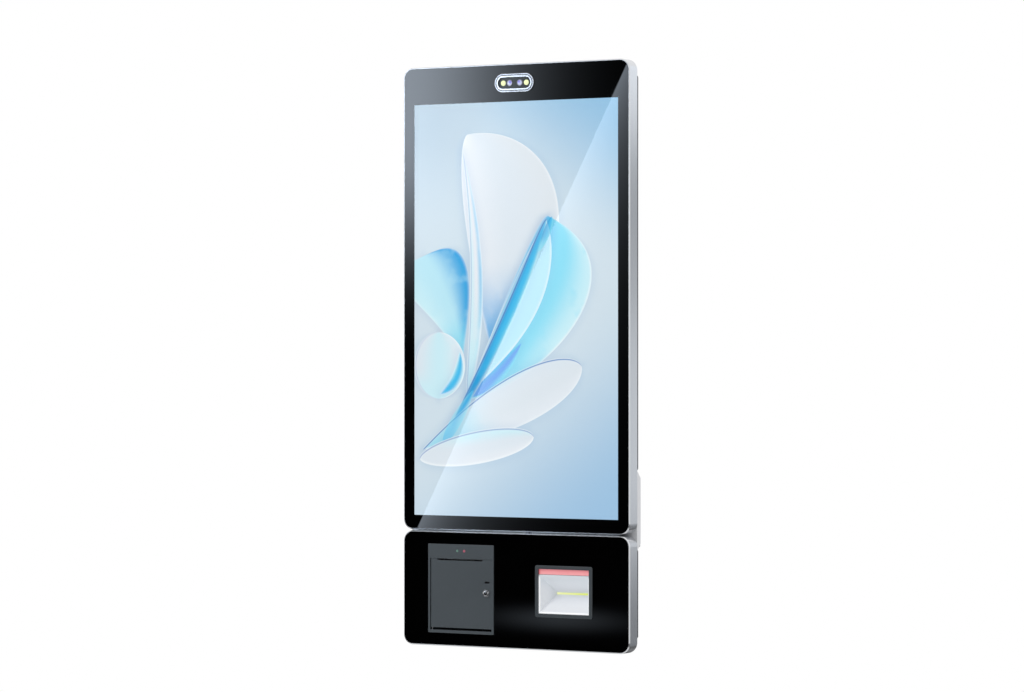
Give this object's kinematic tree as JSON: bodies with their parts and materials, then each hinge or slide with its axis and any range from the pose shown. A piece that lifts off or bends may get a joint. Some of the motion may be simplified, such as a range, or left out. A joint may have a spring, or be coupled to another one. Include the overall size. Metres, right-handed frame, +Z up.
{
  "type": "touchscreen kiosk",
  "caption": "Wall-mounted self-service kiosk with a portrait touch display, a camera, a receipt printer behind a locked door, and a code scanner.",
  "frame": {"origin": "centre of the four wall bolts, on the wall", "axes": "+Z up, -Y out of the wall towards the user, +X to the user's right"},
  "size_m": [0.4368, 0.0904, 0.9838],
  "materials": {
    "frame_aluminium": "satin anodised",
    "front_glass": "polished, black printed border",
    "tape": "foam tape",
    "pressed_steel": "zinc plated",
    "display_face": "lit display",
    "light_guide": "clear acrylic",
    "chrome_trim": "polished",
    "camera_cover": "dark window",
    "lens_glass": "coated lens",
    "flash_cover": "pale yellow lens",
    "black_plastic": "moulded",
    "circuit_board": "green lacquer",
    "cover_grey": "fine texture powder coat",
    "bracket_black": "powder coat",
    "printer_grey": "satin dark grey",
    "scanner_grey": "satin dark grey",
    "hopper_white": "white satin",
    "light_red": "translucent red",
    "scan_glow": "lit window",
    "led_lens": "clear dome",
    "cable_black": "flat sleeve",
    "paper": "thermal paper",
    "card_core": "card tube",
    "platen_rubber": "ground",
    "gear_white": "acetal",
    "head_ceramic": "ceramic and aluminium"
  },
  "bodies": {
    "kiosk": {"backlight": "light_guide", "bracket_bolts": "pressed_steel", "camera_bezel": "chrome_trim", "camera_board": "circuit_board", "camera_housing": "black_plastic", "camera_lenses": "lens_glass", "camera_window": "camera_cover", "case_screws": "pressed_steel", "display_driver": "circuit_board", "fan_housing": "black_plastic", "feed_motor": "pressed_steel", "flash_leds": "flash_cover", "glass_tapes": "tape", "hang_plate": "bracket_black", "hinge_pin": "pressed_steel", "lcd_brackets": "pressed_steel", "lcd_chassis": "pressed_steel", "lcd_screen": "display_face", "lower_frame": "frame_aluminium", "lower_panel": "front_glass", "lower_rear_cover": "cover_grey", "main_harness": "cable_black", "mainboard": "circuit_board", "mech_frame": "pressed_steel", "neck_bracket": "frame_aluminium", "paper_spindle": "pressed_steel", "paper_strip": "paper", "port_block": "black_plastic", "power_inlet": "black_plastic", "power_supply": "pressed_steel", "print_head": "head_ceramic", "printer_bezel": "printer_grey", "printer_tub": "printer_grey", "scan_engine": "black_plastic", "scan_light_bar": "light_red", "scan_window": "scan_glow", "scanner_bezel": "scanner_grey", "scanner_hopper": "hopper_white", "speakers": "black_plastic", "status_leds": "led_lens", "touch_glass": "front_glass", "upper_frame": "frame_aluminium", "upper_rear_cover": "cover_grey", "wall_plate": "bracket_black"},
    "door": {"printer_door": "printer_grey", "lock_barrel": "chrome_trim", "lock_nut": "pressed_steel"},
    "lock_core": {"lock_plug": "chrome_trim", "lock_cam": "pressed_steel"},
    "feed_key": {"feed_button": "black_plastic"},
    "paper_supply": {"paper_roll": "paper", "paper_core": "card_core"},
    "platen": {"platen_roller": "platen_rubber", "platen_shaft": "pressed_steel", "platen_gear": "gear_white"},
    "idler": {"idler_gear": "gear_white"},
    "motor_rotor": {"motor_pinion": "gear_white"},
    "cutter": {"cutter_blade": "pressed_steel"},
    "switch_rocker": {"power_rocker": "black_plastic"},
    "fan_wheel": {"fan_rotor": "black_plastic"}
  },
  "joints": [
    {"name": "door_hinge", "type": "hinge", "parent": "kiosk", "child": "door", "pos_m": [-0.1612, -0.083, -0.54], "axis": [0, 0, -1], "range_deg": [0, 95]},
    {"name": "lock_turn", "type": "hinge", "parent": "door", "child": "lock_core", "pos_m": [-0.054, -0.08, -0.536], "axis": [0, -1, 0], "range_deg": [0, 90]},
    {"name": "feed_press", "type": "slide", "parent": "kiosk", "child": "feed_key", "axis": [0, 1, 0], "range_m": [0, 0.0015], "stiffness_N_per_m": 400},
    {"name": "paper_turn", "type": "hinge", "parent": "kiosk", "child": "paper_supply", "pos_m": [-0.1058, -0.052, -0.566], "axis": [1, 0, 0], "continuous": true},
    {"name": "platen_turn", "type": "hinge", "parent": "kiosk", "child": "platen", "pos_m": [-0.1058, -0.066, -0.488], "axis": [1, 0, 0], "continuous": true},
    {"name": "idler_turn", "type": "hinge", "parent": "kiosk", "child": "idler", "pos_m": [-0.156, -0.049, -0.48345], "axis": [1, 0, 0], "continuous": true},
    {"name": "motor_turn", "type": "hinge", "parent": "kiosk", "child": "motor_rotor", "pos_m": [-0.156, -0.03923, -0.49509], "axis": [1, 0, 0], "continuous": true},
    {"name": "cutter_slide", "type": "slide", "parent": "kiosk", "child": "cutter", "axis": [0, 0, -1], "range_m": [0, 0.004]},
    {"name": "rocker_tilt", "type": "hinge", "parent": "kiosk", "child": "switch_rocker", "pos_m": [0.165, -0.035, -0.607], "axis": [-1, 0, 0], "range_deg": [0, 24]},
    {"name": "fan_turn", "type": "hinge", "parent": "kiosk", "child": "fan_wheel", "pos_m": [-0.09, -0.022, 0.235], "axis": [0, 1, 0], "continuous": true}
  ],
  "couplings": [
    {"joint": "platen_turn", "follows": "paper_turn", "ratio": 3.6923},
    {"joint": "idler_turn", "follows": "paper_turn", "ratio": -4.4308},
    {"joint": "motor_turn", "follows": "paper_turn", "ratio": 4.9231}
  ]
}
